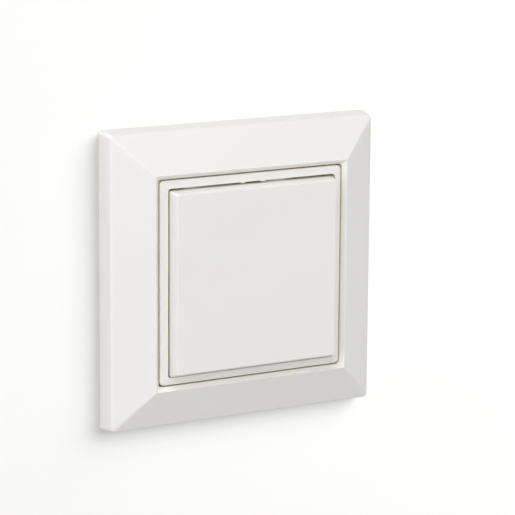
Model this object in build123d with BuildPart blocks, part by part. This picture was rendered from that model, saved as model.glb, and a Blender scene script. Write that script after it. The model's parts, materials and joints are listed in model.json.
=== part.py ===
"""Flush-mounted rocker wall switch: momentary changeover insert, claws, rocker and cover frame.

Millimetres. X to the right, Z up, the user stands on the -Y side. The origin is the centre of
the wall plane: everything the user sees is in front of it, the mechanism is behind it (+Y).
"""
import math
import os

from build123d import *

# ---- cover frame ----
FRAME_W = 80.0
FRAME_R = 1.4
FRAME_EDGE_W = 78.3
FRAME_EDGE_R = 1.1
FRAME_EDGE_H = 5.0
FRAME_EDGE_ROUND = 0.7
RIDGE_W = 57.3
RIDGE_H = 10.2
RIDGE_CORNER_R = 0.3
RIDGE_LAND = 0.1
OPENING_W = 55.0
OPENING_R = 0.8
OPENING_SLOPE_END_H = 9.2
COLLAR_W = 57.8
HOLLOW_W = 76.6
HOLLOW_STEP_W = 75.4
HOLLOW_STEP_H = 3.5
HOLLOW_TOP_H = 8.0
HOLLOW_R = 1.2
LEDGE_W = 51.6
LEDGE_R = 2.0
LEDGE_H = 6.0
LEDGE_T = 1.4
COLLAR_FOOT = (1.4, 7.0)
COLLAR_FOOT_X = 27.2
COLLAR_FOOT_Z = 17.5
STIFFENER_T = 0.8
STIFFENER_AT = (-26.0, -18.0, 18.0, 26.0)
STIFFENER_BASE_H = 1.5
STIFFENER_INNER = (28.7, 8.3)
STIFFENER_OUTER = (38.0, 3.7)

# ---- bezel ring ----
BEZEL_W = 54.25
BEZEL_R = 1.3
BEZEL_HOLE_W = 50.1
BEZEL_HOLE_R = 0.9
BEZEL_EDGE_H = 9.4
BEZEL_TOP_H = 9.9
BEZEL_ROUND = 0.4
LIP_H = 9.5
RELIEF = (49.4, 51.2)
LEG_X = 25.2
LEG_Z = 12.0
LEG_T = 1.0
LEG_W = 6.0
LEG_END_Y = 2.2
HOOK_REACH = 0.7
SNAP_CLEAR = 0.15
GAP_NIB_X = 3.0
GAP_NIB = (1.3, 0.3, 0.7)
GAP_NIB_SET_BACK = 0.05

# ---- rocker ----
ROCKER_FACE_W = 47.6
ROCKER_SKIRT_W = 48.8
ROCKER_LOWER_LIP = 0.53
ROCKER_R = 0.5
ROCKER_INNER_R = 1.0
ROCKER_TOP_H = 12.8
ROCKER_BEND_H = 9.9
ROCKER_SKIRT_H = 6.0
ROCKER_WALL = 1.8
ROCKER_EDGE_ROUND = 0.25
ROCKER_RIB_X = 8.0
ROCKER_RIB = (1.2, 24.0)
CLIP_X = 12.5
CLIP_Z = 7.0
CLIP = (1.2, 4.0)
CLIP_END_H = 5.2
CLIP_HOOK = 0.7
CLIP_CLEAR = 0.2

# ---- pivot and rocker cradle ----
PIVOT_H = 4.0
PIN_R = 1.0
RUN_CLEAR = 0.05
PIN_L = 28.6
PIN_CHAMFER = 0.2
CRADLE = (29.6, 25.0)
CRADLE_R = 1.5
CRADLE_H = 6.4
CRADLE_T = 1.8
CRADLE_ARM_X = 11.2
CRADLE_ARM_T = 1.7
CRADLE_BOSS_R = 2.3
FOOT_Z = 9.0
FOOT_R = 1.0
FOOT_W = 6.0

# ---- steel support ring ----
PLATE_W = 71.0
PLATE_T = 1.0
PLATE_CORNER = 8.0
WINDOW_W = 35.0
WINDOW_CORNER = 8.0
DEVICE_HOLE_Z = 30.0
DEVICE_HOLE_R = 1.75
ARC_FROM = 14.0
ARC_SPAN = 13.0
CLAW_X = 23.8
CLAW_HOLE_R = 1.65
RIVET_XZ = 16.6
RIVET_R = 1.5
RIVET_HEAD_R = 2.25
RIVET_HEAD_T = 0.6
RIVET_BORE_R = 0.9
TAB_ROOT_X = 31.1
TAB_L = 9.3
TAB_T = 0.9
TAB_W = 7.0
TAB_LEAN = math.radians(28.4)

# ---- contact cover (front of the insert) ----
COVER_FLANGE_T = 2.5
FLANGE_R = 1.0
ISLAND_W = 34.8
LUG_X = 13.15
LUG_T = 1.7
LUG_R = 1.9
TOWER_R = 4.8
TOWER_END_Y = 6.0
SPRING_SEAT_Y = 3.5
SPRING_WELL_R = 3.4

# ---- mechanism base ----
BASE_W = 41.0
BASE_END_Y = 28.0
BASE_FLOOR = 2.0
BASE_WALL = 1.5
BASE_EAR_END_Y = 6.0
BASE_CORNER = 11.2
PARTITION_X = 6.9
PARTITION_T = 1.2
PARTITION_L = 34.0
TIP_PEDESTAL = (6.0, 4.0)
COMMON_PEDESTAL = 6.0
TERMINAL_PEDESTAL = (1.6, 2.0)
TERMINAL_PEDESTAL_X = 18.3
WIRE_X = 15.0
WIRE_Z = 7.5
WIRE_R = 1.6
WIRE_LEAD_IN = 0.4

# ---- plungers and return springs ----
HEAD_GAP = 0.03
HEAD_R = 3.2
HEAD_T = 1.07
STEM_R = 1.6
TAIL_R = 0.8
COIL_R = 2.35
COIL_WIRE_R = 0.25
COIL_PITCH = 1.0
COIL_SEAT_GAP = 0.02
PRESS_TRAVEL = 0.65

# ---- contact blades ----
BLADE_AXIS_Y = 12.4
BLADE_AXIS_Z = 2.2
BLADE_FRONT = 0.4
BLADE_T = 0.5
BLADE_W = 5.6
BLADE_END_Z = 14.8
EYE_R = 0.9
EYE_W = 7.8
BLADE_PIN_R = 0.4
BLADE_PIN_OVERHANG = 0.3
TIP_Z = 13.0
TIP_R = 1.3
MOVING_TIP_T = 0.6
DOME_R = 2.5
FIXED_TIP_Y = 14.145
FIXED_TIP_T = 0.7

# ---- brass conductors and terminals ----
STRIP_T = 0.8
FIXED_STRIP_Y = FIXED_TIP_Y + FIXED_TIP_T
COMMON_STRIP_Y = 13.6
COMMON_EAR_X = 4.6
COMMON_EAR_R = 1.0
COMMON_END_X = 5.0
COMMON_W = 6.6
COMMON_RISER_W = 4.5
FIXED_PAD_X = -3.2
FIXED_PAD_W = 4.4
FIXED_RISER_X = 6.0
FIXED_RISER_W = 2.0
TERMINAL_X = 17.1
TERMINAL_Z = 7.5
TERMINAL_W = 5.0
TERMINAL_END_Y = 25.0
CLAMP_T = 0.4
CLAMP_W = 4.6
CLAMP_ROOT = (7.75, 17.0)
CLAMP_KNEE = (9.9, 25.6)
CLAMP_FREE_END = (13.2, 18.6)
CLAMP_BEND_R = 0.9

# ---- release levers ----
LEVER_X = 11.9
LEVER_T = 2.0
LEVER_TIP_Y = 22.3
LEVER_SLOPE_Y = 3.1
LEVER_HALF_Z = 9.6
LEVER_STOP_Y = 25.95
LEVER_BUTTON_Z = 3.4
LEVER_END_Y = 28.9
LEVER_NOSE = 0.5
LEVER_SLOT_W = 1.0
LEVER_SLOT_DEPTH = 0.6
LEVER_CLEAR = 0.1

# ---- claws ----
SCREW_R = 1.5
SCREW_END_Y = 22.0
SCREW_HEAD_R = 2.8
SCREW_HEAD_T = 1.9
SCREW_HEAD_ROUND = 0.6
SCREW_POINT = 0.4
SLOT_W = 0.8
SLOT_DEPTH = 1.1
NUT_Y = 16.5
NUT = (5.8, 3.0, 6.0)
TRUNNION_R = 1.0
TRUNNION_REACH = 1.5
CLAW_FACE_X = 27.0
CLAW_T = 1.0
CLAW_W = 8.6
CLAW_FRONT_Y = 7.9
CLAW_BACK_Y = 18.6
CLAW_EAR_R = 2.2
TOOTH_REACH = 1.6
TOOTH_NOSE = 0.6
TOOTH_BACK = 1.8
NOTCH_PITCH = 2.15
NOTCH_R = 1.0

LEVEL_TOLERANCE = 0.01

os.makedirs("parts", exist_ok=True)


def front(height):
    """Plane parallel to the wall, this far in front of it (negative: behind it)."""
    return Plane.XZ.offset(height)


def behind(depth):
    """Plane parallel to the wall, this far behind it."""
    return Plane.XZ.offset(-depth)


def edges_at(part, height, reach):
    """Edges lying at one height in front of the wall and within reach of the centre axis."""
    level = part.edges().filter_by_position(
        Axis.Y, -height - LEVEL_TOLERANCE, -height + LEVEL_TOLERANCE
    )
    return level.filter_by(
        lambda e: max(abs(e.center().X), abs(e.center().Z)) < reach
    )


def save(builder, name):
    builder.part.label = name
    export_step(builder.part, f"parts/{name}.step")


# ================= what the user sees =================

with BuildPart() as cover_frame:
    with BuildSketch(front(0)):
        RectangleRounded(FRAME_W, FRAME_W, FRAME_R)
    with BuildSketch(front(FRAME_EDGE_H)):
        RectangleRounded(FRAME_EDGE_W, FRAME_EDGE_W, FRAME_EDGE_R)
    with BuildSketch(front(RIDGE_H)):
        RectangleRounded(RIDGE_W, RIDGE_W, RIDGE_CORNER_R)
    loft(ruled=True)
    fillet(edges_at(cover_frame, FRAME_EDGE_H, FRAME_W), FRAME_EDGE_ROUND)
    # hollow underside, parallel to the facets
    with BuildSketch(front(0)):
        RectangleRounded(HOLLOW_W, HOLLOW_W, HOLLOW_R)
    with BuildSketch(front(HOLLOW_STEP_H)):
        RectangleRounded(HOLLOW_STEP_W, HOLLOW_STEP_W, HOLLOW_R)
    with BuildSketch(front(HOLLOW_TOP_H)):
        RectangleRounded(COLLAR_W, COLLAR_W, HOLLOW_R)
    loft(ruled=True, mode=Mode.SUBTRACT)
    # collar round the opening, down to the ledge that carries the bezel ring
    with BuildSketch(front(LEDGE_H - LEDGE_T)):
        RectangleRounded(COLLAR_W, COLLAR_W, HOLLOW_R)
    extrude(amount=HOLLOW_TOP_H - LEDGE_H + LEDGE_T)
    with BuildSketch(front(LEDGE_H)):
        RectangleRounded(OPENING_W, OPENING_W, OPENING_R)
    extrude(amount=RIDGE_H, mode=Mode.SUBTRACT)
    with BuildSketch(front(LEDGE_H - LEDGE_T)):
        RectangleRounded(LEDGE_W, LEDGE_W, LEDGE_R)
    extrude(amount=LEDGE_T, mode=Mode.SUBTRACT)
    # inward slope from the ridge to the opening
    with BuildSketch(front(OPENING_SLOPE_END_H)):
        RectangleRounded(OPENING_W, OPENING_W, OPENING_R)
    with BuildSketch(front(RIDGE_H)):
        RectangleRounded(RIDGE_W - 2 * RIDGE_LAND, RIDGE_W - 2 * RIDGE_LAND, RIDGE_CORNER_R)
    loft(ruled=True, mode=Mode.SUBTRACT)
    # feet of the collar that rest on the support ring
    with BuildSketch(front(PLATE_T)):
        with GridLocations(2 * COLLAR_FOOT_X, 2 * COLLAR_FOOT_Z, 2, 2):
            Rectangle(*COLLAR_FOOT)
    extrude(amount=LEDGE_H - LEDGE_T - PLATE_T)
    # stiffeners under the four facets, between collar and rim
    stiffener_planes = [
        Plane.XY.rotated((0, turn, 0)).offset(at)
        for turn in (0, 90, 180, 270)
        for at in STIFFENER_AT
    ]
    with BuildSketch(*stiffener_planes):
        Polygon(
            (STIFFENER_INNER[0], -STIFFENER_BASE_H),
            (STIFFENER_OUTER[0], -STIFFENER_BASE_H),
            (STIFFENER_OUTER[0], -STIFFENER_OUTER[1]),
            (STIFFENER_INNER[0], -STIFFENER_INNER[1]),
            align=None,
        )
    extrude(amount=STIFFENER_T / 2, both=True)
save(cover_frame, "cover_frame")

with BuildPart() as bezel_ring:
    with BuildSketch(front(LEDGE_H)):
        RectangleRounded(BEZEL_W, BEZEL_W, BEZEL_R)
    extrude(amount=BEZEL_EDGE_H - LEDGE_H)
    with BuildSketch(front(BEZEL_EDGE_H)):
        RectangleRounded(BEZEL_W, BEZEL_W, BEZEL_R)
    with BuildSketch(front(BEZEL_TOP_H)):
        RectangleRounded(BEZEL_HOLE_W, BEZEL_HOLE_W, BEZEL_HOLE_R)
    loft(ruled=True)
    fillet(edges_at(bezel_ring, BEZEL_EDGE_H, BEZEL_W), BEZEL_ROUND)
    with BuildSketch(front(LEDGE_H)):
        RectangleRounded(BEZEL_HOLE_W, BEZEL_HOLE_W, BEZEL_HOLE_R)
    extrude(amount=BEZEL_TOP_H, mode=Mode.SUBTRACT)
    # relief under the hole's upper and lower edges, where the rocker's flanks swing
    with BuildSketch(front(LEDGE_H)):
        Rectangle(*RELIEF)
    extrude(amount=LIP_H - LEDGE_H, mode=Mode.SUBTRACT)
    # four snap legs that reach through the support ring and hook behind it
    with BuildSketch(front(LEDGE_H)):
        with GridLocations(2 * LEG_X, 2 * LEG_Z, 2, 2):
            Rectangle(LEG_T, LEG_W)
    extrude(amount=-(LEDGE_H + LEG_END_Y))
    for side in (-1, 1):
        for z in (-LEG_Z, LEG_Z):
            with BuildSketch(Plane.XY.offset(z)):
                Polygon(
                    (side * LEG_X, SNAP_CLEAR),
                    (side * (LEG_X + LEG_T / 2 + HOOK_REACH), SNAP_CLEAR),
                    (side * (LEG_X + LEG_T / 2), LEG_END_Y),
                    (side * LEG_X, LEG_END_Y),
                    align=None,
                )
            extrude(amount=LEG_W / 2, both=True)
    # two small stop nibs in the gap above the rocker
    with BuildSketch(front(BEZEL_TOP_H - GAP_NIB_SET_BACK)):
        with Locations((-GAP_NIB_X, BEZEL_HOLE_W / 2), (GAP_NIB_X, BEZEL_HOLE_W / 2)):
            Rectangle(GAP_NIB[0], 2 * GAP_NIB[1])
    extrude(amount=-GAP_NIB[2])
save(bezel_ring, "bezel_ring")

with BuildPart() as rocker:
    with BuildSketch(front(ROCKER_SKIRT_H)):
        RectangleRounded(ROCKER_SKIRT_W, ROCKER_SKIRT_W, ROCKER_R)
    with BuildSketch(front(ROCKER_BEND_H)):
        with Locations((0, -ROCKER_LOWER_LIP / 2)):
            RectangleRounded(ROCKER_SKIRT_W, ROCKER_SKIRT_W + ROCKER_LOWER_LIP, ROCKER_R)
    with BuildSketch(front(ROCKER_TOP_H)):
        RectangleRounded(ROCKER_FACE_W, ROCKER_FACE_W, ROCKER_R)
    loft(ruled=True)
    fillet(edges_at(rocker, ROCKER_TOP_H, ROCKER_FACE_W), ROCKER_EDGE_ROUND)
    with BuildSketch(front(ROCKER_SKIRT_H)) as rocker_inside:
        Rectangle(ROCKER_SKIRT_W - 2 * ROCKER_WALL, ROCKER_SKIRT_W - 2 * ROCKER_WALL)
        fillet(rocker_inside.vertices(), ROCKER_INNER_R)
    with BuildSketch(front(ROCKER_TOP_H - ROCKER_WALL)) as rocker_roof:
        Rectangle(ROCKER_FACE_W - 2 * ROCKER_WALL, ROCKER_FACE_W - 2 * ROCKER_WALL)
        fillet(rocker_roof.vertices(), ROCKER_INNER_R)
    loft(ruled=True, mode=Mode.SUBTRACT)
    # ribs that bear on the cradle
    with BuildSketch(front(CRADLE_H + CRADLE_T)):
        with Locations((-ROCKER_RIB_X, 0), (ROCKER_RIB_X, 0)):
            Rectangle(*ROCKER_RIB)
    extrude(amount=ROCKER_TOP_H - ROCKER_WALL - CRADLE_H - CRADLE_T)
    # clip legs through the cradle, hooked under it
    with BuildSketch(front(ROCKER_TOP_H - ROCKER_WALL)):
        with GridLocations(2 * CLIP_X, 2 * CLIP_Z, 2, 2):
            Rectangle(*CLIP)
    extrude(amount=-(ROCKER_TOP_H - ROCKER_WALL - CLIP_END_H))
    for side in (-1, 1):
        for z in (-CLIP_Z, CLIP_Z):
            with BuildSketch(Plane.XY.offset(z)):
                Polygon(
                    (side * CLIP_X, -CRADLE_H + RUN_CLEAR),
                    (side * (CLIP_X + CLIP[0] / 2 + CLIP_HOOK), -CRADLE_H + RUN_CLEAR),
                    (side * (CLIP_X + CLIP[0] / 2), -CLIP_END_H),
                    (side * CLIP_X, -CLIP_END_H),
                    align=None,
                )
            extrude(amount=CLIP[1] / 2, both=True)
save(rocker, "rocker")

# ================= rocker carrier and insert =================

with BuildPart() as rocker_cradle:
    with BuildSketch(front(CRADLE_H)):
        RectangleRounded(*CRADLE, CRADLE_R)
        with GridLocations(2 * CLIP_X, 2 * CLIP_Z, 2, 2):
            Rectangle(CLIP[0] + 2 * CLIP_CLEAR, CLIP[1] + 2 * CLIP_CLEAR, mode=Mode.SUBTRACT)
    extrude(amount=CRADLE_T)
    # arms to the pivot pin
    for side in (-1, 1):
        with BuildSketch(Plane.YZ.offset(side * CRADLE_ARM_X)):
            with Locations((-PIVOT_H, 0)):
                Circle(CRADLE_BOSS_R)
            with Locations((-(PIVOT_H + CRADLE_H) / 2, 0)):
                Rectangle(CRADLE_H - PIVOT_H, 2 * CRADLE_BOSS_R)
        extrude(amount=CRADLE_ARM_T / 2, both=True)
    # rounded feet that press the plungers
    with BuildSketch(Plane.YZ):
        for z in (-FOOT_Z, FOOT_Z):
            with Locations((-PIVOT_H, z)):
                Circle(FOOT_R)
            with Locations((-(PIVOT_H + CRADLE_H) / 2, z)):
                Rectangle(CRADLE_H - PIVOT_H, 2 * FOOT_R)
    extrude(amount=FOOT_W / 2, both=True)
    with BuildSketch(Plane.YZ):
        with Locations((-PIVOT_H, 0)):
            Circle(PIN_R + RUN_CLEAR)
    extrude(amount=CRADLE[0] / 2, both=True, mode=Mode.SUBTRACT)
save(rocker_cradle, "rocker_cradle")

with BuildPart() as pivot_pin:
    with BuildSketch(Plane.YZ):
        with Locations((-PIVOT_H, 0)):
            Circle(PIN_R)
    extrude(amount=PIN_L / 2, both=True)
    chamfer(pivot_pin.edges(), PIN_CHAMFER)
save(pivot_pin, "pivot_pin")

with BuildPart() as support_ring:
    with BuildSketch(front(0)):
        with BuildSketch(mode=Mode.PRIVATE) as plate_outline:
            Rectangle(PLATE_W, PLATE_W)
            chamfer(plate_outline.vertices(), PLATE_CORNER)
        with BuildSketch(mode=Mode.PRIVATE) as window_outline:
            Rectangle(WINDOW_W, WINDOW_W)
            chamfer(window_outline.vertices(), WINDOW_CORNER)
        add(plate_outline.sketch)
        add(window_outline.sketch, mode=Mode.SUBTRACT)
        with Locations((0, -DEVICE_HOLE_Z), (0, DEVICE_HOLE_Z)):
            Circle(DEVICE_HOLE_R, mode=Mode.SUBTRACT)
        for middle in (90, 270):
            for start in (middle - ARC_FROM - ARC_SPAN, middle + ARC_FROM):
                with BuildLine(mode=Mode.PRIVATE) as slot_arc:
                    CenterArc((0, 0), DEVICE_HOLE_Z, start, ARC_SPAN)
                SlotArc(slot_arc.line.edge(), 2 * DEVICE_HOLE_R, mode=Mode.SUBTRACT)
        with Locations((-CLAW_X, 0), (CLAW_X, 0)):
            Circle(CLAW_HOLE_R, mode=Mode.SUBTRACT)
        with GridLocations(2 * LEG_X, 2 * LEG_Z, 2, 2):
            Rectangle(LEG_T + 2 * SNAP_CLEAR, LEG_W + 2 * SNAP_CLEAR, mode=Mode.SUBTRACT)
        with GridLocations(2 * RIVET_XZ, 2 * RIVET_XZ, 2, 2):
            Circle(RIVET_R, mode=Mode.SUBTRACT)
    extrude(amount=PLATE_T)
    # tabs bent back and inwards, which spread the claws
    tab_end_x = TAB_ROOT_X - TAB_L * math.sin(TAB_LEAN)
    tab_end_y = TAB_L * math.cos(TAB_LEAN)
    tab_inner_x = TAB_ROOT_X - TAB_T / math.cos(TAB_LEAN)
    for side in (-1, 1):
        with BuildSketch(Plane.XY):
            Polygon(
                (side * tab_end_x, tab_end_y),
                (side * TAB_ROOT_X, 0),
                (side * TAB_ROOT_X, -PLATE_T / 2),
                (side * tab_inner_x, -PLATE_T / 2),
                (side * tab_inner_x, 0),
                (
                    side * (tab_end_x - TAB_T * math.cos(TAB_LEAN)),
                    tab_end_y - TAB_T * math.sin(TAB_LEAN),
                ),
                align=None,
            )
        extrude(amount=TAB_W / 2, both=True)
save(support_ring, "support_ring")

with BuildPart() as ring_rivets:
    with BuildSketch(front(PLATE_T)):
        with GridLocations(2 * RIVET_XZ, 2 * RIVET_XZ, 2, 2):
            Circle(RIVET_HEAD_R)
    extrude(amount=RIVET_HEAD_T)
    with BuildSketch(front(PLATE_T)):
        with GridLocations(2 * RIVET_XZ, 2 * RIVET_XZ, 2, 2):
            Circle(RIVET_R)
    extrude(amount=-(PLATE_T + BASE_EAR_END_Y))
    with BuildSketch(behind(BASE_EAR_END_Y)):
        with GridLocations(2 * RIVET_XZ, 2 * RIVET_XZ, 2, 2):
            Circle(RIVET_HEAD_R)
    extrude(amount=-RIVET_HEAD_T)
    with BuildSketch(front(PLATE_T + RIVET_HEAD_T)):
        with GridLocations(2 * RIVET_XZ, 2 * RIVET_XZ, 2, 2):
            Circle(RIVET_BORE_R)
    extrude(amount=-(PLATE_T + BASE_EAR_END_Y + 2 * RIVET_HEAD_T), mode=Mode.SUBTRACT)
save(ring_rivets, "ring_rivets")

with BuildPart() as contact_cover:
    with BuildSketch(front(0)):
        RectangleRounded(BASE_W, BASE_W, FLANGE_R)
    extrude(amount=-COVER_FLANGE_T)
    with BuildSketch(front(0)) as island:
        Rectangle(ISLAND_W, ISLAND_W)
        chamfer(island.vertices(), WINDOW_CORNER)
    extrude(amount=PLATE_T)
    with BuildSketch(behind(COVER_FLANGE_T)):
        with Locations((0, -FOOT_Z), (0, FOOT_Z)):
            Circle(TOWER_R)
    extrude(amount=-(TOWER_END_Y - COVER_FLANGE_T))
    for side in (-1, 1):
        with BuildSketch(Plane.YZ.offset(side * LUG_X)):
            with Locations((-PIVOT_H, 0)):
                Circle(LUG_R)
            with Locations((-(PIVOT_H + PLATE_T / 2) / 2, 0)):
                Rectangle(PIVOT_H - PLATE_T / 2, 2 * LUG_R)
        extrude(amount=LUG_T / 2, both=True)
    with BuildSketch(Plane.YZ):
        with Locations((-PIVOT_H, 0)):
            Circle(PIN_R)
    extrude(amount=PIN_L / 2, both=True, mode=Mode.SUBTRACT)
    # spring wells and guide bores of the plungers
    with BuildSketch(front(PLATE_T)):
        with Locations((0, -FOOT_Z), (0, FOOT_Z)):
            Circle(SPRING_WELL_R)
    extrude(amount=-(PLATE_T + SPRING_SEAT_Y), mode=Mode.SUBTRACT)
    with BuildSketch(front(PLATE_T)):
        with Locations((0, -FOOT_Z), (0, FOOT_Z)):
            Circle(STEM_R + RUN_CLEAR)
    extrude(amount=-(PLATE_T + TOWER_END_Y), mode=Mode.SUBTRACT)
    with BuildSketch(front(0)):
        with GridLocations(2 * RIVET_XZ, 2 * RIVET_XZ, 2, 2):
            Circle(RIVET_R)
    extrude(amount=-COVER_FLANGE_T, mode=Mode.SUBTRACT)
save(contact_cover, "contact_cover")

with BuildPart() as mechanism_base:
    with BuildSketch(behind(COVER_FLANGE_T)):
        RectangleRounded(BASE_W, BASE_W, FLANGE_R)
    extrude(amount=-(BASE_EAR_END_Y - COVER_FLANGE_T))
    with BuildSketch(behind(BASE_EAR_END_Y)) as body_outline:
        Rectangle(BASE_W, BASE_W)
        chamfer(body_outline.vertices(), BASE_CORNER)
    extrude(amount=-(BASE_END_Y - BASE_EAR_END_Y))
    with BuildSketch(behind(COVER_FLANGE_T)) as hollow_outline:
        Rectangle(BASE_W - 2 * BASE_WALL, BASE_W - 2 * BASE_WALL)
        chamfer(hollow_outline.vertices(), BASE_CORNER - BASE_WALL * (2 - math.sqrt(2)))
    extrude(amount=-(BASE_END_Y - BASE_FLOOR - COVER_FLANGE_T), mode=Mode.SUBTRACT)
    with BuildSketch(behind(COVER_FLANGE_T)):
        with GridLocations(2 * RIVET_XZ, 2 * RIVET_XZ, 2, 2):
            Circle(RIVET_R)
    extrude(amount=-(BASE_EAR_END_Y - COVER_FLANGE_T), mode=Mode.SUBTRACT)
    # partitions and pedestals, up to the brass strips they carry
    with BuildSketch(behind(FIXED_STRIP_Y + STRIP_T)):
        with Locations((PARTITION_X, 0)):
            Rectangle(PARTITION_T, PARTITION_L)
        with Locations((0, -TIP_Z), (0, TIP_Z)):
            Rectangle(*TIP_PEDESTAL)
        with GridLocations(2 * TERMINAL_PEDESTAL_X, 2 * TERMINAL_Z, 2, 2):
            Rectangle(*TERMINAL_PEDESTAL)
    extrude(amount=-(BASE_END_Y - BASE_FLOOR - FIXED_STRIP_Y - STRIP_T))
    with BuildSketch(behind(COMMON_STRIP_Y + STRIP_T)):
        with Locations((-PARTITION_X, 0)):
            Rectangle(PARTITION_T, PARTITION_L)
        Rectangle(COMMON_PEDESTAL, COMMON_PEDESTAL)
    extrude(amount=-(BASE_END_Y - BASE_FLOOR - COMMON_STRIP_Y - STRIP_T))
    # conductor entries and release lever windows
    with BuildSketch(behind(BASE_END_Y)):
        with GridLocations(2 * WIRE_X, 2 * WIRE_Z, 2, 2):
            Circle(WIRE_R)
        with Locations((-LEVER_X, 0), (LEVER_X, 0)):
            Rectangle(LEVER_T + 2 * LEVER_CLEAR, 2 * (LEVER_BUTTON_Z + LEVER_CLEAR))
    extrude(amount=BASE_FLOOR, mode=Mode.SUBTRACT)
    rims = mechanism_base.edges().filter_by(GeomType.CIRCLE).filter_by_position(
        Axis.Y, BASE_END_Y - LEVEL_TOLERANCE, BASE_END_Y + LEVEL_TOLERANCE
    )
    chamfer(rims, WIRE_LEAD_IN)
save(mechanism_base, "mechanism_base")

# ================= plungers, springs and contacts =================


def make_plunger(z):
    """Head under the cradle foot, stem through the guide bore, rounded tail on the blade."""
    head_y = -PIVOT_H + FOOT_R + HEAD_GAP
    tail_y = BLADE_AXIS_Y - BLADE_FRONT - HEAD_GAP
    with BuildPart() as plunger:
        with BuildSketch(Plane.XY.offset(z)):
            with BuildLine():
                Polyline(
                    (0, head_y),
                    (HEAD_R, head_y),
                    (HEAD_R, head_y + HEAD_T),
                    (STEM_R, head_y + HEAD_T),
                    (STEM_R, tail_y - 2 * TAIL_R),
                    (TAIL_R, tail_y - TAIL_R),
                )
                RadiusArc((TAIL_R, tail_y - TAIL_R), (0, tail_y), -TAIL_R)
                Line((0, tail_y), (0, head_y))
            make_face()
        revolve(axis=Axis((0, 0, z), (0, 1, 0)))
    return plunger


def make_return_spring(z):
    """Coil spring in the well round the stem, shown at its fully pressed length."""
    start_y = -PIVOT_H + FOOT_R + HEAD_GAP + HEAD_T + PRESS_TRAVEL + COIL_WIRE_R
    end_y = SPRING_SEAT_Y - COIL_WIRE_R - COIL_SEAT_GAP
    with BuildPart() as spring:
        with BuildLine() as coil:
            Helix(COIL_PITCH, end_y - start_y, COIL_R, center=(0, start_y, z), direction=(0, 1, 0))
        with BuildSketch(Plane(origin=coil.line @ 0, z_dir=coil.line % 0)):
            Circle(COIL_WIRE_R)
        sweep(is_frenet=True)
    return spring


def make_contact_blade(side):
    """Rolled eye on the pin, flat blade towards one end of the rocker; side is +1 up, -1 down."""
    blade_y = BLADE_AXIS_Y - BLADE_FRONT + BLADE_T / 2
    with BuildPart() as blade:
        with BuildSketch(Plane.YZ):
            with Locations((blade_y, side * (BLADE_AXIS_Z + BLADE_END_Z) / 2)):
                Rectangle(BLADE_T, BLADE_END_Z - BLADE_AXIS_Z)
        extrude(amount=BLADE_W / 2, both=True)
        with BuildSketch(Plane.YZ):
            with Locations((BLADE_AXIS_Y, side * BLADE_AXIS_Z)):
                Circle(EYE_R)
        extrude(amount=EYE_W / 2, both=True)
        with BuildSketch(Plane.YZ):
            with Locations((BLADE_AXIS_Y, side * BLADE_AXIS_Z)):
                Circle(BLADE_PIN_R + RUN_CLEAR)
        extrude(amount=EYE_W / 2, both=True, mode=Mode.SUBTRACT)
    return blade


def make_moving_tip(side):
    """Silver button riveted to the back of a contact blade."""
    with BuildPart() as tip:
        with BuildSketch(behind(BLADE_AXIS_Y - BLADE_FRONT + BLADE_T)):
            with Locations((0, side * TIP_Z)):
                Circle(TIP_R)
        extrude(amount=-MOVING_TIP_T)
    return tip


def make_fixed_contact(side):
    """Brass strip under the fixed tip, across to the terminal chamber and back along the wire."""
    riser_end_x = FIXED_RISER_X + FIXED_RISER_W
    run_end_x = TERMINAL_X + STRIP_T / 2
    inner_z = TERMINAL_Z - TERMINAL_W / 2
    outer_z = TIP_Z + FIXED_PAD_W / 2
    with BuildPart() as strip:
        with BuildSketch(behind(FIXED_STRIP_Y)):
            with Locations(((FIXED_PAD_X + riser_end_x) / 2, side * TIP_Z)):
                Rectangle(riser_end_x - FIXED_PAD_X, FIXED_PAD_W)
            with Locations((FIXED_RISER_X + FIXED_RISER_W / 2, side * (inner_z + outer_z) / 2)):
                Rectangle(FIXED_RISER_W, outer_z - inner_z)
            with Locations(((FIXED_RISER_X + run_end_x) / 2, side * TERMINAL_Z)):
                Rectangle(run_end_x - FIXED_RISER_X, TERMINAL_W)
        extrude(amount=-STRIP_T)
        with BuildSketch(behind(FIXED_STRIP_Y)):
            with Locations((TERMINAL_X, side * TERMINAL_Z)):
                Rectangle(STRIP_T, TERMINAL_W)
        extrude(amount=-(TERMINAL_END_Y - FIXED_STRIP_Y))
    return strip


for end, side in (("upper", 1), ("lower", -1)):
    save(make_plunger(side * FOOT_Z), f"{end}_plunger")
    save(make_return_spring(side * FOOT_Z), f"{end}_return_spring")
    save(make_contact_blade(side), f"{end}_contact_blade")
    save(make_moving_tip(side), f"{end}_moving_tip")
    save(make_fixed_contact(side), f"{end}_fixed_contact")

with BuildPart() as fixed_tips:
    with BuildSketch(behind(FIXED_TIP_Y)):
        with Locations((0, -TIP_Z), (0, TIP_Z)):
            Circle(TIP_R)
    extrude(amount=-FIXED_TIP_T)
    with Locations((0, FIXED_TIP_Y + DOME_R, -TIP_Z), (0, FIXED_TIP_Y + DOME_R, TIP_Z)):
        Sphere(DOME_R, mode=Mode.INTERSECT)
save(fixed_tips, "fixed_tips")

with BuildPart() as blade_pins:
    with BuildSketch(Plane.YZ):
        with Locations((BLADE_AXIS_Y, -BLADE_AXIS_Z), (BLADE_AXIS_Y, BLADE_AXIS_Z)):
            Circle(BLADE_PIN_R)
    extrude(amount=COMMON_EAR_X + STRIP_T / 2 + BLADE_PIN_OVERHANG, both=True)
save(blade_pins, "blade_pins")

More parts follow.
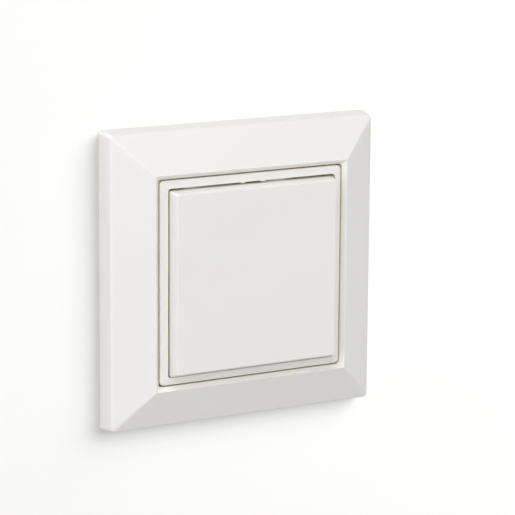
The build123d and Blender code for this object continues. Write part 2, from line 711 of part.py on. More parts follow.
with BuildPart() as common_bar:
    bar_end_x = -TERMINAL_X - STRIP_T / 2
    with BuildSketch(behind(COMMON_STRIP_Y)):
        with Locations(((bar_end_x + COMMON_END_X) / 2, 0)):
            Rectangle(COMMON_END_X - bar_end_x, COMMON_W)
        with Locations((bar_end_x + COMMON_RISER_W / 2, 0)):
            Rectangle(COMMON_RISER_W, 2 * TERMINAL_Z + TERMINAL_W)
    extrude(amount=-STRIP_T)
    with BuildSketch(behind(COMMON_STRIP_Y)):
        with Locations((-TERMINAL_X, -TERMINAL_Z), (-TERMINAL_X, TERMINAL_Z)):
            Rectangle(STRIP_T, TERMINAL_W)
    extrude(amount=-(TERMINAL_END_Y - COMMON_STRIP_Y))
    # ears that hold the blade pins
    for x in (-COMMON_EAR_X, COMMON_EAR_X):
        with BuildSketch(Plane.YZ.offset(x)):
            with Locations((BLADE_AXIS_Y, -BLADE_AXIS_Z), (BLADE_AXIS_Y, BLADE_AXIS_Z)):
                Circle(COMMON_EAR_R)
            with Locations(((BLADE_AXIS_Y + COMMON_STRIP_Y) / 2, 0)):
                Rectangle(COMMON_STRIP_Y - BLADE_AXIS_Y, 2 * (BLADE_AXIS_Z + COMMON_EAR_R))
            with Locations((BLADE_AXIS_Y, -BLADE_AXIS_Z), (BLADE_AXIS_Y, BLADE_AXIS_Z)):
                Circle(BLADE_PIN_R, mode=Mode.SUBTRACT)
        extrude(amount=STRIP_T / 2, both=True)
save(common_bar, "common_bar")

# ================= terminals and release levers =================


def make_clamp(side, z):
    """Bent spring strip whose free end leans over the wire path of one terminal."""
    with BuildPart() as clamp:
        with BuildLine(Plane.XY.offset(z)) as bend:
            FilletPolyline(
                (side * CLAMP_ROOT[0], CLAMP_ROOT[1]),
                (side * CLAMP_ROOT[0], CLAMP_KNEE[1]),
                (side * CLAMP_KNEE[0], CLAMP_KNEE[1]),
                (side * CLAMP_FREE_END[0], CLAMP_FREE_END[1]),
                radius=CLAMP_BEND_R,
            )
        with BuildSketch(Plane(origin=bend.line @ 0, x_dir=(1, 0, 0), z_dir=(0, 1, 0))):
            Rectangle(CLAMP_T, CLAMP_W)
        sweep()
    return clamp


with BuildPart() as clamp_springs:
    for side in (-1, 1):
        for z in (-TERMINAL_Z, TERMINAL_Z):
            add(make_clamp(side, z).part)
save(clamp_springs, "clamp_springs")


def make_release_lever(side):
    """Slide whose crossbar meets both clamp springs of one side; the button is at the back."""
    inner = LEVER_X - LEVER_T / 2
    outer = LEVER_X + LEVER_T / 2
    with BuildPart() as lever:
        with BuildSketch(Plane.XY):
            Polygon(
                (side * inner, LEVER_TIP_Y + LEVER_SLOPE_Y),
                (side * (outer - LEVER_NOSE), LEVER_TIP_Y),
                (side * outer, LEVER_TIP_Y),
                (side * outer, LEVER_STOP_Y),
                (side * inner, LEVER_STOP_Y),
                align=None,
            )
        extrude(amount=LEVER_HALF_Z, both=True)
        with BuildSketch(behind(LEVER_STOP_Y)):
            with Locations((side * LEVER_X, 0)):
                Rectangle(LEVER_T, 2 * LEVER_BUTTON_Z)
        extrude(amount=-(LEVER_END_Y - LEVER_STOP_Y))
        # driver slot across the button
        with BuildSketch(behind(LEVER_END_Y)):
            with Locations((side * LEVER_X, 0)):
                Rectangle(LEVER_T, LEVER_SLOT_W)
        extrude(amount=LEVER_SLOT_DEPTH, mode=Mode.SUBTRACT)
    return lever


# ================= claws =================


def make_claw_screw(side):
    """Slotted screw through the ring; its head is in front, and its shank carries the claw nut."""
    with BuildPart() as screw:
        with BuildSketch(front(PLATE_T + HEAD_GAP)):
            with Locations((side * CLAW_X, 0)):
                Circle(SCREW_HEAD_R)
        extrude(amount=SCREW_HEAD_T)
        fillet(screw.faces().sort_by(Axis.Y)[0].edges(), SCREW_HEAD_ROUND)
        with BuildSketch(front(PLATE_T + HEAD_GAP)):
            with Locations((side * CLAW_X, 0)):
                Circle(SCREW_R)
        extrude(amount=-(PLATE_T + HEAD_GAP + SCREW_END_Y))
        chamfer(screw.faces().sort_by(Axis.Y)[-1].edges(), SCREW_POINT)
        with BuildSketch(front(PLATE_T + HEAD_GAP + SCREW_HEAD_T)):
            with Locations((side * CLAW_X, 0)):
                Rectangle(2 * SCREW_HEAD_R, SLOT_W)
                Rectangle(SLOT_W, SCREW_HEAD_R)
        extrude(amount=-SLOT_DEPTH, mode=Mode.SUBTRACT)
    return screw


def make_claw_nut(side):
    """Square nut on the screw, with a trunnion at each end for the claw's ears."""
    with BuildPart() as nut:
        with Locations((side * CLAW_X, NUT_Y, 0)):
            Box(*NUT)
        with BuildSketch(Plane.XY):
            with Locations((side * CLAW_X, NUT_Y)):
                Circle(TRUNNION_R)
        extrude(amount=NUT[2] / 2 + TRUNNION_REACH, both=True)
        with BuildSketch(behind(NUT_Y)):
            with Locations((side * CLAW_X, 0)):
                Circle(SCREW_R + RUN_CLEAR)
        extrude(amount=NUT[1], both=True, mode=Mode.SUBTRACT)
    return nut


def make_claw(side):
    """Bent steel arm: toothed front edge, two ears on the nut's trunnions."""
    with BuildPart() as claw:
        with BuildSketch(Plane.XY):
            Polygon(
                (side * CLAW_FACE_X, CLAW_BACK_Y),
                (side * (CLAW_FACE_X + CLAW_T), CLAW_BACK_Y),
                (side * (CLAW_FACE_X + CLAW_T), CLAW_FRONT_Y + TOOTH_BACK),
                (side * (CLAW_FACE_X + CLAW_T + TOOTH_REACH), CLAW_FRONT_Y + TOOTH_NOSE),
                (side * (CLAW_FACE_X + CLAW_T + TOOTH_REACH), CLAW_FRONT_Y),
                (side * CLAW_FACE_X, CLAW_FRONT_Y),
                align=None,
            )
        extrude(amount=CLAW_W / 2, both=True)
        for ear in (-1, 1):
            with BuildSketch(Plane.XY.offset(ear * (CLAW_W / 2 - CLAW_T / 2))):
                with Locations((side * CLAW_X, NUT_Y)):
                    Circle(CLAW_EAR_R)
                with Locations((side * (CLAW_X + CLAW_FACE_X) / 2, NUT_Y)):
                    Rectangle(CLAW_FACE_X - CLAW_X, 2 * CLAW_EAR_R)
                with Locations((side * CLAW_X, NUT_Y)):
                    Circle(TRUNNION_R + RUN_CLEAR, mode=Mode.SUBTRACT)
            extrude(amount=CLAW_T / 2, both=True)
        # notches between the teeth
        with BuildSketch(Plane.YZ.offset(side * (CLAW_FACE_X + CLAW_T))):
            for z in (-NOTCH_PITCH, 0, NOTCH_PITCH):
                with Locations((CLAW_FRONT_Y, z)):
                    RegularPolygon(NOTCH_R, 4)
        extrude(amount=side * 2 * TOOTH_REACH, mode=Mode.SUBTRACT)
    return claw


for end, side in (("right", 1), ("left", -1)):
    save(make_release_lever(side), f"{end}_release_lever")
    save(make_claw_screw(side), f"{end}_claw_screw")
    save(make_claw_nut(side), f"{end}_claw_nut")
    save(make_claw(side), f"{end}_claw")
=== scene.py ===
import json
import math

import bmesh
import bpy
from mathutils import Matrix, Vector


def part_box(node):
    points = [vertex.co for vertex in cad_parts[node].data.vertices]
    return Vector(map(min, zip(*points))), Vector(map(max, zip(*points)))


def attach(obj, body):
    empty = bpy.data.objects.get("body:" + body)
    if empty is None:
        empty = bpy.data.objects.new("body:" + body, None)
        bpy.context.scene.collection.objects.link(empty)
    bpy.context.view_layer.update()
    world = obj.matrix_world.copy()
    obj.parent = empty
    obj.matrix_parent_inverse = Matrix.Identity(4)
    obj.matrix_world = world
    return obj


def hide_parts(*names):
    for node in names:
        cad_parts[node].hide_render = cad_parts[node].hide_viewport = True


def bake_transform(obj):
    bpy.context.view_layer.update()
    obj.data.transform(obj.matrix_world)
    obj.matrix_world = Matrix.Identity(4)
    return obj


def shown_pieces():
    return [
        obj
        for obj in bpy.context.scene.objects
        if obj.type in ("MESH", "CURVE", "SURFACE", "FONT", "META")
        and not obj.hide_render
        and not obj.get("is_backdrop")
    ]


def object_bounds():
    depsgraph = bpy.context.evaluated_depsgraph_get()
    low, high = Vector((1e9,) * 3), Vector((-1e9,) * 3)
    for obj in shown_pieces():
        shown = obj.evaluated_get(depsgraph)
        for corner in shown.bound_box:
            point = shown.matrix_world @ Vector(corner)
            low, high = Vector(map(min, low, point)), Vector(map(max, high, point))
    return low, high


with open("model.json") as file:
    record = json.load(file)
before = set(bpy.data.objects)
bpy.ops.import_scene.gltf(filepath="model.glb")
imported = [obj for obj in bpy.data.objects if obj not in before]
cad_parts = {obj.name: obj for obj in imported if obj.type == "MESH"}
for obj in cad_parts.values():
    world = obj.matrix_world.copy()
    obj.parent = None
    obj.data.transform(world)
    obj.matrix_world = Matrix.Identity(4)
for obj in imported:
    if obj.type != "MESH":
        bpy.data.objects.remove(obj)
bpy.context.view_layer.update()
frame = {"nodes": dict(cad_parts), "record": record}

MM = 0.001
NODES = frame["nodes"]
SLOT_OF = {s["node"]: s["material_slot"] for s in frame["record"]["subparts"]}


# ------------------------------------------------------------------ materials

# reach of the warm shade painted into gaps between parts
GAP_SHADE_REACH = 1.5 * MM
NOISE_LOW, NOISE_HIGH = 0.3, 0.7
GRAIN_STRENGTH = 0.4
GLOW_DEPTH = 0.8 * MM
GLOW_TINT = (1.0, 0.95, 0.85)


def new_material(name):
    material = bpy.data.materials.new(name)
    material.use_nodes = True
    tree = material.node_tree
    return material, tree, tree.nodes["Principled BSDF"]


def noise(tree, coords, scale, detail=2.0, stretch=(1, 1, 1)):
    mapping = tree.nodes.new("ShaderNodeMapping")
    mapping.inputs["Scale"].default_value = stretch
    tree.links.new(coords, mapping.inputs["Vector"])
    texture = tree.nodes.new("ShaderNodeTexNoise")
    texture.inputs["Scale"].default_value = scale
    texture.inputs["Detail"].default_value = detail
    tree.links.new(mapping.outputs["Vector"], texture.inputs["Vector"])
    return texture.outputs["Fac"]


def ramp(tree, fac, low, high, start=NOISE_LOW, end=NOISE_HIGH):
    """Colour that runs from low to high as fac goes from start to end."""
    node = tree.nodes.new("ShaderNodeValToRGB")
    node.color_ramp.elements[0].position = start
    node.color_ramp.elements[1].position = end
    node.color_ramp.elements[0].color = (*low, 1)
    node.color_ramp.elements[1].color = (*high, 1)
    tree.links.new(fac, node.inputs["Fac"])
    return node.outputs["Color"]


def remap(tree, fac, low, high):
    """Number that runs from low to high over the useful middle of a noise."""
    node = tree.nodes.new("ShaderNodeMapRange")
    node.inputs["From Min"].default_value = NOISE_LOW
    node.inputs["From Max"].default_value = NOISE_HIGH
    node.inputs["To Min"].default_value = low
    node.inputs["To Max"].default_value = high
    tree.links.new(fac, node.inputs["Value"])
    return node.outputs["Result"]


def bump(tree, shader, heights, strength):
    """Stacks bump layers; heights is a list of (height socket, depth in metres)."""
    normal = None
    for fac, depth in heights:
        node = tree.nodes.new("ShaderNodeBump")
        node.inputs["Strength"].default_value = strength
        node.inputs["Distance"].default_value = depth
        tree.links.new(fac, node.inputs["Height"])
        if normal is not None:
            tree.links.new(normal, node.inputs["Normal"])
        normal = node.outputs["Normal"]
    tree.links.new(normal, shader.inputs["Normal"])


def paint_gap_shade(tree, colour, gap_shade_colour, reach):
    """Painted shade: shifts the colour to a warm shade colour where surfaces closer than reach face each
    other, as in gaps between parts.
    """
    openness = tree.nodes.new("ShaderNodeAmbientOcclusion")
    openness.samples = 6
    openness.inputs["Distance"].default_value = reach
    mix = tree.nodes.new("ShaderNodeMix")
    mix.data_type = "RGBA"
    mix.inputs["A"].default_value = (*gap_shade_colour, 1)
    tree.links.new(openness.outputs["AO"], mix.inputs["Factor"])
    tree.links.new(colour, mix.inputs["B"])
    return mix.outputs["Result"]


def plastic(name, dark, light, rough, grain, depth, glow=0.0, gap_shade_colour=None):
    """Moulded plastic: slow tone and gloss drift, a spark-eroded grain (mm), light inside it, optional
    painted shade in gaps.
    """
    material, tree, shader = new_material(name)
    coords = tree.nodes.new("ShaderNodeTexCoord").outputs["Object"]
    drift = noise(tree, coords, 45.0, 2.0)
    flow = noise(tree, coords, 130.0, 3.0, (1, 0.4, 1))
    fine = noise(tree, coords, 1.0 / (grain * MM), 3.0)
    colour = ramp(tree, drift, dark, light)
    # painted shade: the colour turns warm where nearby surfaces occlude it
    if gap_shade_colour:
        colour = paint_gap_shade(tree, colour, gap_shade_colour, GAP_SHADE_REACH)
    tree.links.new(colour, shader.inputs["Base Color"])
    tree.links.new(remap(tree, flow, rough - 0.03, rough + 0.03), shader.inputs["Roughness"])
    shader.inputs["Subsurface Weight"].default_value = glow
    shader.inputs["Subsurface Radius"].default_value = GLOW_TINT
    shader.inputs["Subsurface Scale"].default_value = GLOW_DEPTH
    bump(tree, shader, [(flow, 2 * depth * MM), (fine, depth * MM)], GRAIN_STRENGTH)
    return material


def metal(name, dark, light, rough, stretch, scale, depth, tint=None):
    """Rolled or plated metal: directional rolling grain, slow staining, optional tint patches."""
    material, tree, shader = new_material(name)
    coords = tree.nodes.new("ShaderNodeTexCoord").outputs["Object"]
    stain = noise(tree, coords, 160.0, 4.0)
    grain = noise(tree, coords, scale, 3.0, stretch)
    colour = ramp(tree, stain, dark, light)
    if tint:
        patches = noise(tree, coords, 60.0, 2.0)
        mix = tree.nodes.new("ShaderNodeMix")
        mix.data_type = "RGBA"
        mix.inputs["B"].default_value = (*tint, 1)
        tree.links.new(remap(tree, patches, 0.0, 0.6), mix.inputs["Factor"])
        tree.links.new(colour, mix.inputs["A"])
        colour = mix.outputs["Result"]
    tree.links.new(colour, shader.inputs["Base Color"])
    tree.links.new(remap(tree, grain, rough - 0.08, rough + 0.08), shader.inputs["Roughness"])
    shader.inputs["Metallic"].default_value = 1.0
    bump(tree, shader, [(stain, 2 * depth * MM), (grain, depth * MM)], GRAIN_STRENGTH)
    return material


FINISH = {
    # the last colour of the white plastic is the warm shade painted into its gaps
    "white_plastic": plastic("white_moulded_plastic",
                             (0.760, 0.754, 0.742), (0.772, 0.766, 0.754), 0.36, 0.22, 0.0012, 0.15,
                             gap_shade_colour=(0.86, 0.80, 0.63)),
    "carrier_plastic": plastic("light_grey_plastic",
                               (0.55, 0.555, 0.55), (0.61, 0.615, 0.61), 0.50, 0.30, 0.006),
    "base_plastic": plastic("dark_grey_plastic",
                            (0.055, 0.058, 0.063), (0.080, 0.084, 0.091), 0.46, 0.32, 0.008),
    "lever_plastic": plastic("orange_plastic",
                             (0.62, 0.15, 0.02), (0.70, 0.19, 0.03), 0.42, 0.30, 0.005),
    "zinc_steel": metal("zinc_plated_steel",
                        (0.50, 0.51, 0.53), (0.68, 0.69, 0.70), 0.34, (1, 1, 14), 600.0, 0.008,
                        (0.66, 0.63, 0.52)),
    "spring_steel": metal("spring_steel",
                          (0.42, 0.42, 0.44), (0.58, 0.58, 0.60), 0.24, (1, 6, 1), 1200.0, 0.004),
    "brass": metal("brass_strip",
                   (0.66, 0.45, 0.18), (0.80, 0.60, 0.30), 0.28, (10, 1, 1), 800.0, 0.005),
    "contact_silver": metal("contact_silver",
                            (0.76, 0.75, 0.72), (0.90, 0.89, 0.87), 0.26, (1, 1, 1), 1500.0, 0.004),
}


# ------------------------------------------------------------------ finish of the CAD parts

WELD = 0.0005 * MM
EDGE_ANGLE = math.radians(28)
CREASE_ANGLE = math.radians(40)
EDGE_WIDTH_MM = {"white_plastic": 0.12, "carrier_plastic": 0.10, "base_plastic": 0.15,
                 "lever_plastic": 0.12, "zinc_steel": 0.08}


def crease_nodes():
    """Node group that shades every edge sharper than CREASE_ANGLE as a crease."""
    group = bpy.data.node_groups.new("crease_by_angle", "GeometryNodeTree")
    group.interface.new_socket("Geometry", in_out="INPUT", socket_type="NodeSocketGeometry")
    group.interface.new_socket("Geometry", in_out="OUTPUT", socket_type="NodeSocketGeometry")
    source = group.nodes.new("NodeGroupInput")
    result = group.nodes.new("NodeGroupOutput")
    angle = group.nodes.new("GeometryNodeInputMeshEdgeAngle")
    sharp = group.nodes.new("FunctionNodeCompare")
    sharp.operation = "GREATER_THAN"
    sharp.inputs["B"].default_value = CREASE_ANGLE
    shade = group.nodes.new("GeometryNodeSetShadeSmooth")
    shade.domain = "EDGE"
    shade.inputs["Shade Smooth"].default_value = False
    group.links.new(angle.outputs["Unsigned Angle"], sharp.inputs["A"])
    group.links.new(sharp.outputs["Result"], shade.inputs["Selection"])
    group.links.new(source.outputs["Geometry"], shade.inputs["Geometry"])
    group.links.new(shade.outputs["Geometry"], result.inputs["Geometry"])
    return group


CREASES = crease_nodes()


def break_edges(part, width):
    """Small rounds on the sharp edges, as moulding and tumbling leave them."""
    weld = part.modifiers.new("weld", "WELD")
    weld.merge_threshold = WELD
    rounding = part.modifiers.new("edge_rounding", "BEVEL")
    rounding.width = width
    rounding.segments = 2
    rounding.limit_method = "ANGLE"
    rounding.angle_limit = EDGE_ANGLE
    rounding.use_clamp_overlap = True
    rounding.miter_outer = "MITER_ARC"
    creases = part.modifiers.new("creases", "NODES")
    creases.node_group = CREASES
    flats = part.modifiers.new("flat_faces", "WEIGHTED_NORMAL")
    flats.keep_sharp = True
    flats.weight = 100


for node_name, node in NODES.items():
    slot = SLOT_OF[node_name]
    node.data.materials.clear()
    node.data.materials.append(FINISH[slot])
    for face in node.data.polygons:
        face.use_smooth = True
    node.data.set_sharp_from_angle(angle=EDGE_ANGLE)
    if slot in EDGE_WIDTH_MM:
        break_edges(node, EDGE_WIDTH_MM[slot] * MM)


# ------------------------------------------------------------------ pieces

def add_piece(name, mesh, slot):
    mesh.materials.append(FINISH[slot])
    for face in mesh.polygons:
        face.use_smooth = True
    mesh.set_sharp_from_angle(angle=EDGE_ANGLE)
    piece = bpy.data.objects.new(name, mesh)
    bpy.context.scene.collection.objects.link(piece)
    return piece


def skin(name, rings):
    """Closed tube through equal rings of points, with a fan at each end."""
    bm = bmesh.new()
    loops = [[bm.verts.new(p) for p in ring] for ring in rings]
    count = len(loops[0])
    for a, b in zip(loops, loops[1:]):
        for i in range(count):
            j = (i + 1) % count
            bm.faces.new((a[i], a[j], b[j], b[i]))
    for loop in (loops[0], loops[-1]):
        centre = bm.verts.new(sum((v.co for v in loop), Vector()) / count)
        for i in range(count):
            bm.faces.new((loop[i], loop[(i + 1) % count], centre))
    bmesh.ops.recalc_face_normals(bm, faces=bm.faces)
    mesh = bpy.data.meshes.new(name)
    bm.to_mesh(mesh)
    bm.free()
    return mesh


COIL_R = 2.35 * MM
WIRE_R = 0.25 * MM
COIL_TURNS = 4.9
CLOSED_TURNS = 0.8
PLUNGER_HEAD_T = 1.07 * MM
STEPS_PER_TURN = 36
WIRE_SIDES = 12


def coil_spring(name, z, head_y, seat_y):
    """Compression spring with closed end turns, between the plunger head and its seat."""
    first, last = head_y + WIRE_R, seat_y - WIRE_R
    closed_rise = 2 * WIRE_R * CLOSED_TURNS
    open_pitch = (last - first - 2 * closed_rise) / (COIL_TURNS - 2 * CLOSED_TURNS)
    steps = round(COIL_TURNS * STEPS_PER_TURN)
    rings = []
    for step in range(steps + 1):
        turns = COIL_TURNS * step / steps
        from_end = min(turns, COIL_TURNS - turns)
        rise = 2 * WIRE_R * min(from_end, CLOSED_TURNS)
        rise += open_pitch * max(from_end - CLOSED_TURNS, 0)
        y = first + rise if turns < COIL_TURNS / 2 else last - rise
        angle = 2 * math.pi * turns
        outward = Vector((math.sin(angle), 0, math.cos(angle)))
        centre = outward * COIL_R + Vector((0, y, z))
        ring = []
        for i in range(WIRE_SIDES):
            side = 2 * math.pi * i / WIRE_SIDES
            ring.append(centre + WIRE_R * (outward * math.cos(side) + Vector((0, math.sin(side), 0))))
        rings.append(ring)
    return skin(name, rings)


for end in ("upper", "lower"):
    seat_low, seat_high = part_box(f"{end}_return_spring")
    head_low, head_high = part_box(f"{end}_plunger")
    middle_z = (seat_low[2] + seat_high[2]) / 2
    head_back = head_low[1] + PLUNGER_HEAD_T
    spring = add_piece(f"{end}_coil", coil_spring(f"{end}_coil", middle_z, head_back, seat_high[1]),
                       "spring_steel")
    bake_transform(spring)
    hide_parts(f"{end}_return_spring")


SCREW_HEAD_R = 2.8 * MM
SCREW_HEAD_T = 1.9 * MM
HEAD_CROWN = 0.35 * MM
HEAD_RIM_R = 0.45 * MM
HEAD_CHAMFER = 0.15 * MM
CROWN_SPAN = 0.84
SHANK_OVERLAP = 0.2 * MM
SCREW_R = 1.5 * MM
THREAD_PITCH = 0.5 * MM
THREAD_DEPTH = 0.29 * MM
THREAD_ROWS = 8
THREAD_SIDES = 40
HEAD_SIDES = 64
SLOT_W = 0.8 * MM
SLOT_DEPTH = 1.1 * MM


def threaded_shank(name, x, start, end):
    """Right-hand V thread along +Y with a pointed end."""
    rows = round((end - start) / THREAD_PITCH * THREAD_ROWS)
    rings = []
    for row in range(rows + 1):
        y = start + (end - start) * row / rows
        ring = []
        for i in range(THREAD_SIDES):
            turn = i / THREAD_SIDES
            phase = (y / THREAD_PITCH - turn) % 1.0
            groove = min(1.0, 1.2 * abs(2 * phase - 1))
            radius = min(SCREW_R - THREAD_DEPTH * groove, SCREW_R - THREAD_DEPTH + (end - y))
            angle = 2 * math.pi * turn
            ring.append(Vector((x + radius * math.sin(angle), y, radius * math.cos(angle))))
        rings.append(ring)
    return skin(name, rings)


def crowned_head(name, x, top):
    """Head with a flat underside, a rounded rim and a slightly crowned face."""
    base = top + SCREW_HEAD_T
    rim_y = top + HEAD_CROWN
    profile = [(0.25 * SCREW_HEAD_R, base), (0.94 * SCREW_HEAD_R, base), (SCREW_HEAD_R, base - HEAD_CHAMFER),
               (SCREW_HEAD_R, rim_y + HEAD_RIM_R)]
    for step in range(1, 7):
        bend = math.radians(15 * step)
        profile.append((SCREW_HEAD_R - HEAD_RIM_R * (1 - math.cos(bend)),
                        rim_y + HEAD_RIM_R * (1 - math.sin(bend))))
    for step in (0.75, 0.5, 0.25, 0.1):
        profile.append((SCREW_HEAD_R * step * CROWN_SPAN, rim_y - HEAD_CROWN * (1 - step ** 2)))
    rings = []
    for radius, y in profile:
        ring = []
        for i in range(HEAD_SIDES):
            angle = 2 * math.pi * i / HEAD_SIDES
            ring.append(Vector((x + radius * math.sin(angle), y, radius * math.cos(angle))))
        rings.append(ring)
    return skin(name, rings)


def block(name, low, high):
    bm = bmesh.new()
    bmesh.ops.create_cube(bm, size=1.0)
    for v in bm.verts:
        for axis in range(3):
            v.co[axis] = low[axis] if v.co[axis] < 0 else high[axis]
    mesh = bpy.data.meshes.new(name)
    bm.to_mesh(mesh)
    bm.free()
    return mesh


def combine(name, mesh, steps):
    """Mesh after a row of (mesh, boolean operation) steps."""
    made = []
    for each in [mesh] + [tool for tool, operation in steps]:
        obj = bpy.data.objects.new(name, each)
        bpy.context.scene.collection.objects.link(obj)
        made.append(obj)
    for obj, (tool, operation) in zip(made[1:], steps):
        cut = made[0].modifiers.new("step", "BOOLEAN")
        cut.object = obj
        cut.operation = operation
        cut.solver = "EXACT"
    evaluated = made[0].evaluated_get(bpy.context.evaluated_depsgraph_get())
    result = bpy.data.meshes.new_from_object(evaluated)
    for obj in made:
        bpy.data.objects.remove(obj)
    return result


def claw_screw(name, low, high):
    x = (low[0] + high[0]) / 2
    top = low[1]
    slot_floor = top + SLOT_DEPTH
    above = top - MM
    head = crowned_head(name + "_head", x, top)
    shank = threaded_shank(name + "_shank", x, top + SCREW_HEAD_T - SHANK_OVERLAP, high[1])
    long_slot = block(name + "_slot", (x - 2 * SCREW_HEAD_R, above, -SLOT_W / 2),
                      (x + 2 * SCREW_HEAD_R, slot_floor, SLOT_W / 2))
    cross_slot = block(name + "_cross", (x - SLOT_W / 2, above, -SCREW_HEAD_R / 2),
                       (x + SLOT_W / 2, slot_floor, SCREW_HEAD_R / 2))
    steps = [(long_slot, "DIFFERENCE"), (cross_slot, "DIFFERENCE"), (shank, "UNION")]
    return combine(name, head, steps)


for end in ("left", "right"):
    node_name = f"{end}_claw_screw"
    screw = add_piece(f"{end}_threaded_screw",
                      claw_screw(f"{end}_threaded_screw", *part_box(node_name)), "zinc_steel")
    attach(screw, node_name)
    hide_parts(node_name)


# ------------------------------------------------------------------ stage

WALL_HALF = 3.0
HOLE_HALF = 39.85 * MM
HOLE_CORNER_R = 1.6 * MM
CORNER_STEPS = 6
WALL_Y = 0.02 * MM
BOX_SHADE_GAP = 1.0 * MM
# colour of the painted shade seen through the gaps in the switch
BOX_SHADE_TONE = (0.05, 0.05, 0.05)


def aim(obj, target):
    obj.rotation_mode = "QUATERNION"
    obj.rotation_quaternion = (Vector(target) - obj.location).to_track_quat("-Z", "Y")


def area_light(name, direction, distance, size, power, colour=(1, 1, 1), lights=None):
    """Square soft light; direction points from the object towards the light."""
    data = bpy.data.lights.new(name, "AREA")
    data.shape = "SQUARE"
    data.size = size
    data.energy = power
    data.color = colour
    lamp = bpy.data.objects.new(name, data)
    bpy.context.scene.collection.objects.link(lamp)
    lamp.location = Vector(direction).normalized() * distance
    aim(lamp, (0, 0, 0))
    if lights is not None:
        lamp.light_linking.receiver_collection = lights
    return lamp


def collection_of(name, objects):
    group = bpy.data.collections.new(name)
    for obj in objects:
        group.objects.link(obj)
    return group


def wall_material(name, to_camera, to_bounces):
    """Paint with one tone to the camera and one to bounced light, clear from behind."""
    material, tree, shader = new_material(name)
    path = tree.nodes.new("ShaderNodeLightPath").outputs["Is Camera Ray"]
    coords = tree.nodes.new("ShaderNodeTexCoord").outputs["Object"]
    roller = noise(tree, coords, 350.0, 3.0)
    tone = tree.nodes.new("ShaderNodeMix")
    tone.data_type = "RGBA"
    tone.inputs["A"].default_value = (*to_bounces, 1)
    tone.inputs["B"].default_value = (*to_camera, 1)
    tree.links.new(path, tone.inputs["Factor"])
    tree.links.new(tone.outputs["Result"], shader.inputs["Base Color"])
    tree.links.new(remap(tree, roller, 0.85, 0.95), shader.inputs["Roughness"])
    shader.inputs["Specular IOR Level"].default_value = 0.0
    bump(tree, shader, [(roller, 0.01 * MM)], 0.2)
    clear = tree.nodes.new("ShaderNodeBsdfTransparent")
    side = tree.nodes.new("ShaderNodeNewGeometry").outputs["Backfacing"]
    mix = tree.nodes.new("ShaderNodeMixShader")
    tree.links.new(side, mix.inputs["Fac"])
    tree.links.new(shader.outputs["BSDF"], mix.inputs[1])
    tree.links.new(clear.outputs["BSDF"], mix.inputs[2])
    tree.links.new(mix.outputs["Shader"], tree.nodes["Material Output"].inputs["Surface"])
    return material


def hole_outline():
    """Square with round corners that stays just inside the foot of the cover frame."""
    points = []
    for quarter in range(4):
        for step in range(CORNER_STEPS + 1):
            angle = math.pi / 2 * (quarter + step / CORNER_STEPS)
            sign_x = 1 if quarter in (0, 3) else -1
            sign_z = 1 if quarter in (0, 1) else -1
            points.append((sign_x * (HOLE_HALF - HOLE_CORNER_R) + HOLE_CORNER_R * math.cos(angle),
                           sign_z * (HOLE_HALF - HOLE_CORNER_R) + HOLE_CORNER_R * math.sin(angle)))
    return points


def make_wall():
    """Flat wall with the hole that the switch is let into."""
    hole = hole_outline()
    count = len(hole)
    scale = WALL_HALF / HOLE_HALF
    corners = [(x, WALL_Y, z) for x, z in hole] + [(x * scale, WALL_Y, z * scale) for x, z in hole]
    sides = [(i, i + count, (i + 1) % count + count, (i + 1) % count) for i in range(count)]
    mesh = bpy.data.meshes.new("wall")
    mesh.from_pydata(corners, [], sides)
    mesh.materials.append(wall_material("painted_wall", (0.90, 0.90, 0.89), (0.55, 0.55, 0.545)))
    obj = bpy.data.objects.new("wall", mesh)
    bpy.context.scene.collection.objects.link(obj)
    obj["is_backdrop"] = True
    return obj


def make_box_shade():
    """Painted shade: a dark sheet for the shaded depth of the wall box, seen only by the camera through the
    gaps in the switch.
    """
    depth = max(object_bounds()[1][1], 0) + BOX_SHADE_GAP
    corners = [(x * HOLE_HALF, depth, z * HOLE_HALF) for x, z in ((-1, -1), (1, -1), (1, 1), (-1, 1))]
    mesh = bpy.data.meshes.new("box_shade")
    mesh.from_pydata(corners, [], [(0, 1, 2, 3)])
    mesh.materials.append(wall_material("painted_box_shade", BOX_SHADE_TONE, BOX_SHADE_TONE))
    obj = bpy.data.objects.new("box_shade", mesh)
    bpy.context.scene.collection.objects.link(obj)
    obj.visible_diffuse = False
    obj.visible_glossy = False
    obj.visible_transmission = False
    obj.visible_shadow = False
    obj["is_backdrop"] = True


def make_world(strength, backdrop):
    """Even studio light; the camera sees a paler backdrop than the light it gives."""
    world = bpy.data.worlds.new("studio")
    bpy.context.scene.world = world
    world.use_nodes = True
    tree = world.node_tree
    path = tree.nodes.new("ShaderNodeLightPath").outputs["Is Camera Ray"]
    level = tree.nodes.new("ShaderNodeMapRange")
    level.inputs["To Min"].default_value = strength
    level.inputs["To Max"].default_value = backdrop
    tree.links.new(path, level.inputs["Value"])
    tree.links.new(level.outputs["Result"], tree.nodes["Background"].inputs["Strength"])
    tree.nodes["Background"].inputs["Color"].default_value = (1.0, 1.0, 1.0, 1)


wall = make_wall()
on_wall = collection_of("lit_wall", [wall])
on_object = collection_of("lit_object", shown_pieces())
make_box_shade()

WORLD_STRENGTH = 0.225
BACKDROP = 0.95
WARM = (1.0, 1.0, 0.95)
PLAIN = (1.0, 1.0, 1.0)
make_world(WORLD_STRENGTH, BACKDROP)

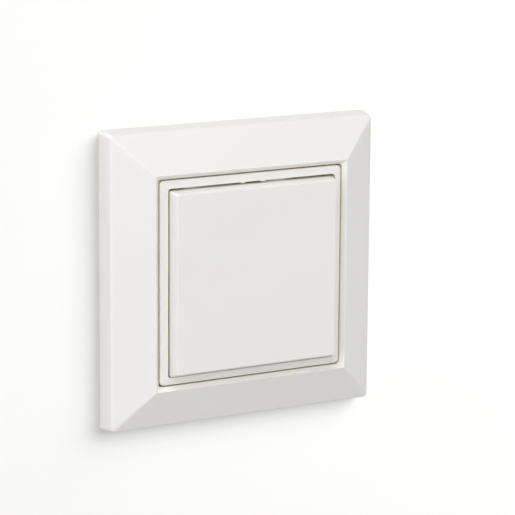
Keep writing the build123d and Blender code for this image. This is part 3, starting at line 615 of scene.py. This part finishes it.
area_light("wall_wash", (0.9, -1.0, 0.7), 1.6, 1.4, 22.3, PLAIN, on_wall)
area_light("wall_fill", (0.15, -1.0, 0.15), 1.1, 3.2, 18.7, PLAIN, on_wall)
area_light("left", (-1.0, -0.45, 0.0), 1.2, 0.9, 4.6, PLAIN, on_object)
area_light("top_left", (-0.7, -0.7, 0.7), 1.2, 0.9, 6.6, PLAIN, on_object)
area_light("top_front", (-0.3, -1.0, 0.65), 1.2, 0.6, 1.7, PLAIN, on_object)
area_light("right", (1.0, -0.6, 0.0), 1.2, 0.9, 5.3, WARM, on_object)
area_light("low", (0.0, -0.6, -1.0), 1.2, 0.9, 2.4, WARM, on_object)
area_light("near_low", (0.0, -1.0, -0.35), 0.5, 0.3, 0.24, PLAIN, on_object)
area_light("top_graze", (-0.2, -0.25, 1.0), 1.2, 0.6, 4.9, PLAIN, on_object)
area_light("rear_key", (-0.8, 1.0, 0.7), 1.2, 0.7, 12.0, PLAIN, on_object)
area_light("rear_fill", (1.0, 0.9, 0.1), 1.2, 1.0, 7.0, PLAIN, on_object)


# ------------------------------------------------------------------ camera

AZIMUTH, ELEVATION, ROLL = math.radians(-29.64), math.radians(11.98), math.radians(0.43)
DISTANCE = 0.680
LENS = 178.4
SENSOR_W = 36.0
NEAR, FAR = 0.01, 20.0
AIM_RIGHT, AIM_UP = 6.17 * MM, 2.79 * MM


def make_camera():
    back = Vector((math.sin(AZIMUTH) * math.cos(ELEVATION),
                   -math.cos(AZIMUTH) * math.cos(ELEVATION), math.sin(ELEVATION)))
    right = Vector((math.cos(AZIMUTH), math.sin(AZIMUTH), 0))
    up = back.cross(right)
    data = bpy.data.cameras.new("camera")
    data.lens = LENS
    data.sensor_width = SENSOR_W
    data.clip_start = NEAR
    data.clip_end = FAR
    camera = bpy.data.objects.new("camera", data)
    bpy.context.scene.collection.objects.link(camera)
    turn = Matrix((right, up, back)).transposed().to_4x4() @ Matrix.Rotation(ROLL, 4, "Z")
    place = right * AIM_RIGHT + up * AIM_UP + back * DISTANCE
    camera.matrix_world = Matrix.Translation(place) @ turn
    return camera


bpy.context.scene.camera = make_camera()
bpy.context.scene.view_settings.view_transform = "Standard"
bpy.context.scene.view_settings.look = "None"

bpy.context.view_layer.update()
